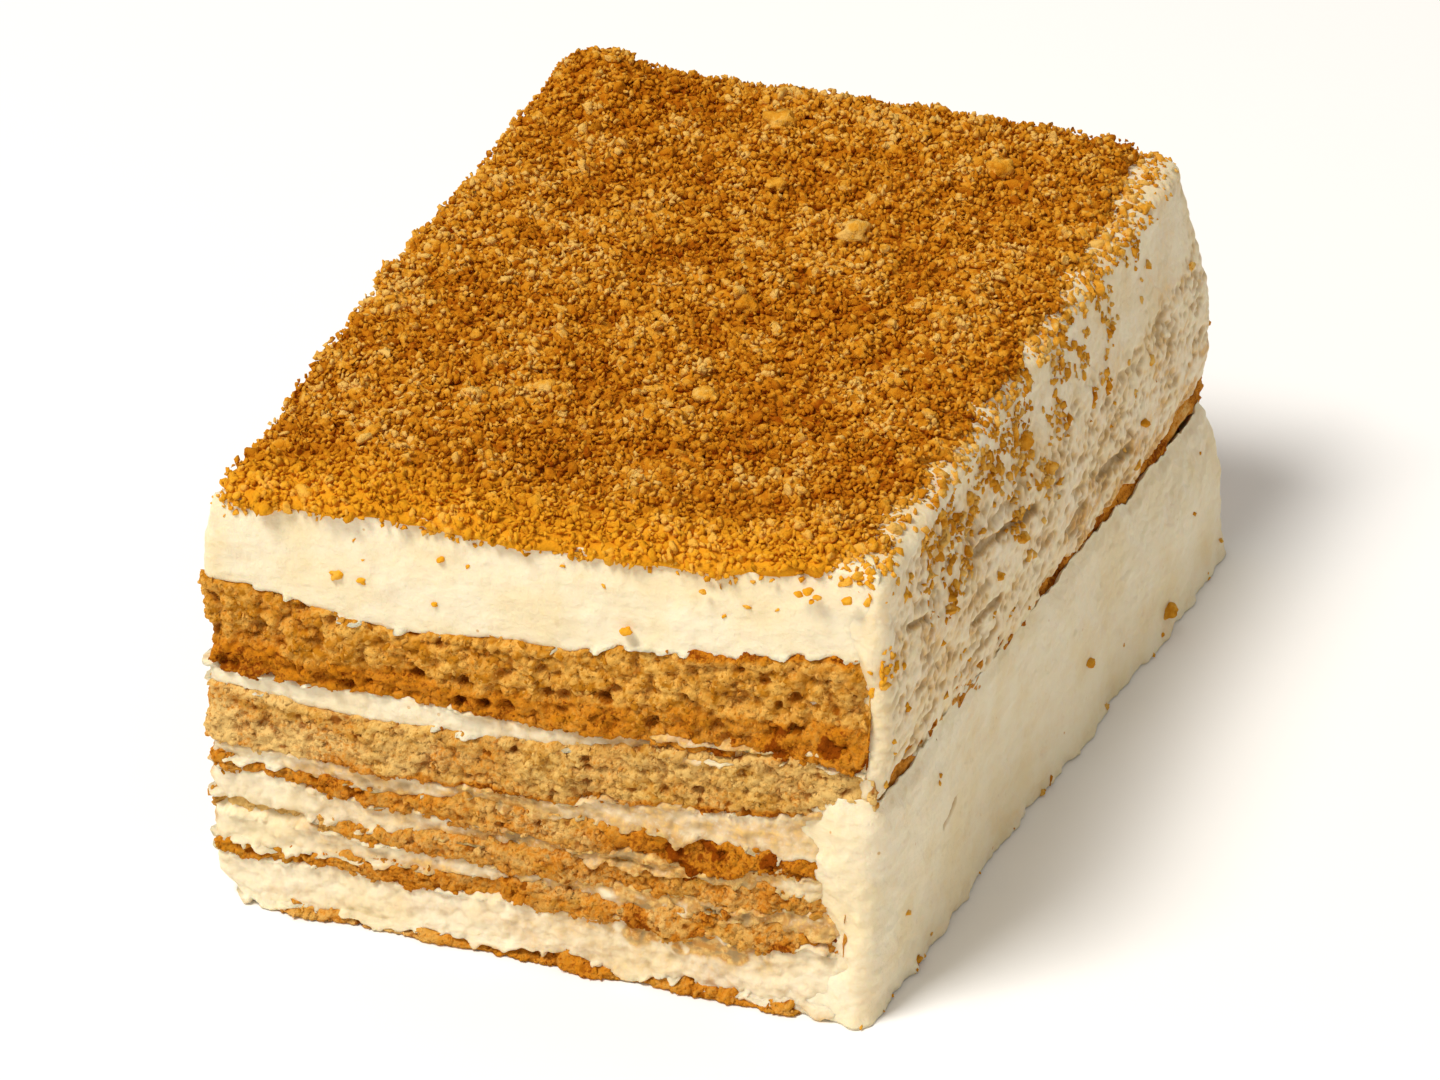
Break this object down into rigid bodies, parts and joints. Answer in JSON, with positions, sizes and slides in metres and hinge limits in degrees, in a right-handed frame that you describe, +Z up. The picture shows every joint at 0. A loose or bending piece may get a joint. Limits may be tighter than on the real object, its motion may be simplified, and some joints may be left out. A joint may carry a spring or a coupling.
{
  "type": "honey layer cake slice",
  "caption": "Rectangular slice of honey layer cake: thin sponge sheets with cream between them, a cream-coated long side and a crumb topping.",
  "frame": {"origin": "middle of the slice's box, on the flat underside that it stands on", "axes": "+Z up through the layers, -Y out of the short cut face at the front, +X out of the cream-coated long side"},
  "size_m": [0.0862, 0.1114, 0.0543],
  "materials": {
    "crumb": "dry toasted honey cake crumbs, matte",
    "cream": "soft sour cream filling, satin",
    "sponge": "porous baked honey sponge, matte",
    "sponge_pale": "paler porous honey sponge, matte"
  },
  "bodies": {
    "root": {"crumb_topping": "crumb", "cream_1": "cream", "sponge_1": "sponge", "cream_2": "cream", "sponge_2": "sponge_pale", "cream_3": "cream", "sponge_3": "sponge", "cream_4": "cream", "sponge_4": "sponge", "cream_5": "cream", "sponge_5": "sponge", "cream_6": "cream", "base_sponge": "sponge"}
  },
  "joints": []
}
